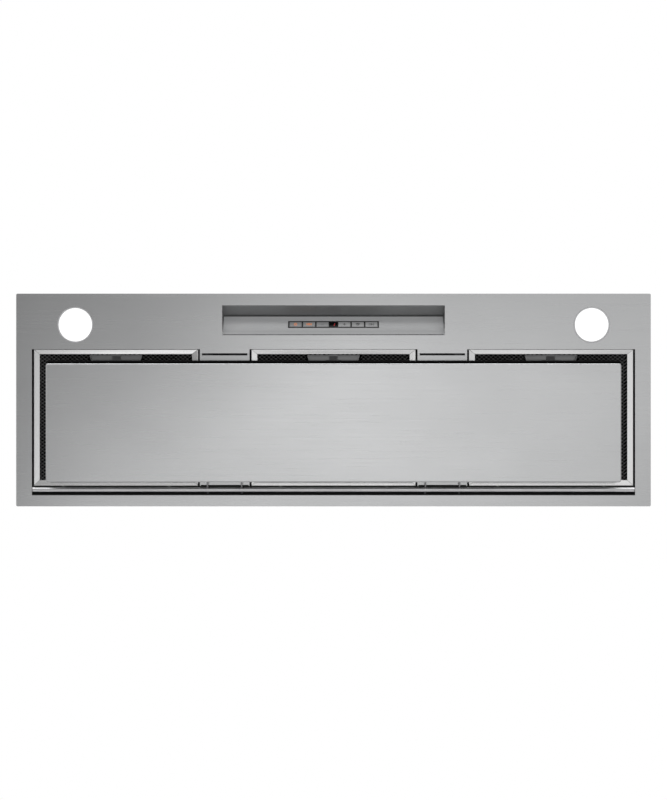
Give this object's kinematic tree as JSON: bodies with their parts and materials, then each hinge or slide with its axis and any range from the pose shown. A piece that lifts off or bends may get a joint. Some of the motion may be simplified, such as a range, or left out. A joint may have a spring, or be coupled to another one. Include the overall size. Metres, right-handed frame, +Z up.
{
  "type": "range hood insert",
  "caption": "Built-in range hood insert: stainless fascia with lamps, a sunken control strip, mesh grease filters, a hinged suction panel, a blower and a flapped duct collar.",
  "frame": {"origin": "under the middle of the fascia, level with the lower face of the closed suction panel", "axes": "X across the hood, -Y the cook's side, +Z up towards the duct"},
  "size_m": [0.895, 0.3, 0.3182],
  "materials": {
    "stainless": "brushed along X",
    "polished_steel": "polished stainless",
    "plain_steel": "plain stainless",
    "black_steel": "black coat",
    "filter_mesh": "expanded mesh, dark in depth",
    "dark_plastic": "satin black",
    "key_grey": "satin grey",
    "display_black": "smoked window",
    "galvanised": "galvanised sheet",
    "collar_plastic": "moulded black",
    "wheel_aluminium": "rolled sheet",
    "lamp_aluminium": "die-cast",
    "opal": "opal diffuser",
    "motor_paint": "black enamel",
    "capacitor_white": "moulded",
    "board_green": "solder mask",
    "bush_rubber": "moulded rubber"
  },
  "bodies": {
    "housing": {"bridge_left": "stainless", "bridge_right": "stainless", "cable_bush": "bush_rubber", "casing_end_left": "galvanised", "casing_end_right": "galvanised", "casing_front": "galvanised", "casing_rear": "galvanised", "casing_top": "galvanised", "catch_magnets": "dark_plastic", "control_face": "stainless", "control_pocket": "stainless", "damper_rod": "plain_steel", "display_window": "display_black", "duct_collar": "collar_plastic", "electronics_box": "galvanised", "electronics_lid": "galvanised", "fascia": "stainless", "filter_cup_left": "plain_steel", "filter_cup_middle": "plain_steel", "filter_cup_right": "plain_steel", "filter_frame_left": "polished_steel", "filter_frame_middle": "polished_steel", "filter_frame_right": "polished_steel", "filter_mesh_left": "filter_mesh", "filter_mesh_middle": "filter_mesh", "filter_mesh_right": "filter_mesh", "hinge_rod": "polished_steel", "key_board": "board_green", "key_carrier": "dark_plastic", "lamp_body_left": "lamp_aluminium", "lamp_body_right": "lamp_aluminium", "lamp_lens_left": "opal", "lamp_lens_right": "opal", "latch_springs": "plain_steel", "main_board": "board_green", "motor": "motor_paint", "motor_housing": "galvanised", "motor_spider": "plain_steel", "rear_channel": "black_steel", "run_capacitor": "capacitor_white", "scroll_left": "galvanised", "scroll_right": "galvanised"},
    "panel": {"panel_skin": "stainless", "panel_liner": "plain_steel", "panel_trim": "dark_plastic", "hinge_brackets": "black_steel", "catch_strikes": "plain_steel"},
    "latch_left": {"filter_latch_left": "dark_plastic"},
    "latch_middle": {"filter_latch_middle": "dark_plastic"},
    "latch_right": {"filter_latch_right": "dark_plastic"},
    "flap_front": {"damper_flap_front": "collar_plastic"},
    "flap_rear": {"damper_flap_rear": "collar_plastic"},
    "blower": {"blower_wheel": "wheel_aluminium", "motor_shaft": "plain_steel"},
    "key_power_cap": {"key_power": "key_grey"},
    "key_light_cap": {"key_light": "key_grey"},
    "key_minus_cap": {"key_minus": "key_grey"},
    "key_plus_cap": {"key_plus": "key_grey"},
    "key_timer_cap": {"key_timer": "key_grey"},
    "key_boost_cap": {"key_boost": "key_grey"}
  },
  "joints": [
    {"name": "panel_hinge", "type": "hinge", "parent": "housing", "child": "panel", "pos_m": [0, 0.1264, 0.0256], "axis": [1, 0, 0], "range_deg": [0, 85]},
    {"name": "latch_left_slide", "type": "slide", "parent": "housing", "child": "latch_left", "axis": [0, 1, 0], "range_m": [0, 0.006], "stiffness_N_per_m": 300, "springref_m": -0.004, "deforming": ["latch_springs"]},
    {"name": "latch_middle_slide", "type": "slide", "parent": "housing", "child": "latch_middle", "axis": [0, 1, 0], "range_m": [0, 0.006], "stiffness_N_per_m": 300, "springref_m": -0.004, "deforming": ["latch_springs"]},
    {"name": "latch_right_slide", "type": "slide", "parent": "housing", "child": "latch_right", "axis": [0, 1, 0], "range_m": [0, 0.006], "stiffness_N_per_m": 300, "springref_m": -0.004, "deforming": ["latch_springs"]},
    {"name": "key_power_press", "type": "slide", "parent": "housing", "child": "key_power_cap", "axis": [0, 0.5477, 0.8367], "range_m": [0, 0.001], "stiffness_N_per_m": 600, "springref_m": -0.0006},
    {"name": "key_light_press", "type": "slide", "parent": "housing", "child": "key_light_cap", "axis": [0, 0.5477, 0.8367], "range_m": [0, 0.001], "stiffness_N_per_m": 600, "springref_m": -0.0006},
    {"name": "key_minus_press", "type": "slide", "parent": "housing", "child": "key_minus_cap", "axis": [0, 0.5477, 0.8367], "range_m": [0, 0.001], "stiffness_N_per_m": 600, "springref_m": -0.0006},
    {"name": "key_plus_press", "type": "slide", "parent": "housing", "child": "key_plus_cap", "axis": [0, 0.5477, 0.8367], "range_m": [0, 0.001], "stiffness_N_per_m": 600, "springref_m": -0.0006},
    {"name": "key_timer_press", "type": "slide", "parent": "housing", "child": "key_timer_cap", "axis": [0, 0.5477, 0.8367], "range_m": [0, 0.001], "stiffness_N_per_m": 600, "springref_m": -0.0006},
    {"name": "key_boost_press", "type": "slide", "parent": "housing", "child": "key_boost_cap", "axis": [0, 0.5477, 0.8367], "range_m": [0, 0.001], "stiffness_N_per_m": 600, "springref_m": -0.0006},
    {"name": "flap_front_hinge", "type": "hinge", "parent": "housing", "child": "flap_front", "pos_m": [0, 0, 0.2936], "axis": [-1, 0, 0], "range_deg": [0, 80]},
    {"name": "flap_rear_hinge", "type": "hinge", "parent": "housing", "child": "flap_rear", "pos_m": [0, 0, 0.2936], "axis": [1, 0, 0], "range_deg": [0, 80]},
    {"name": "blower_spin", "type": "hinge", "parent": "housing", "child": "blower", "pos_m": [0, 0.03, 0.16], "axis": [1, 0, 0], "continuous": true}
  ]
}
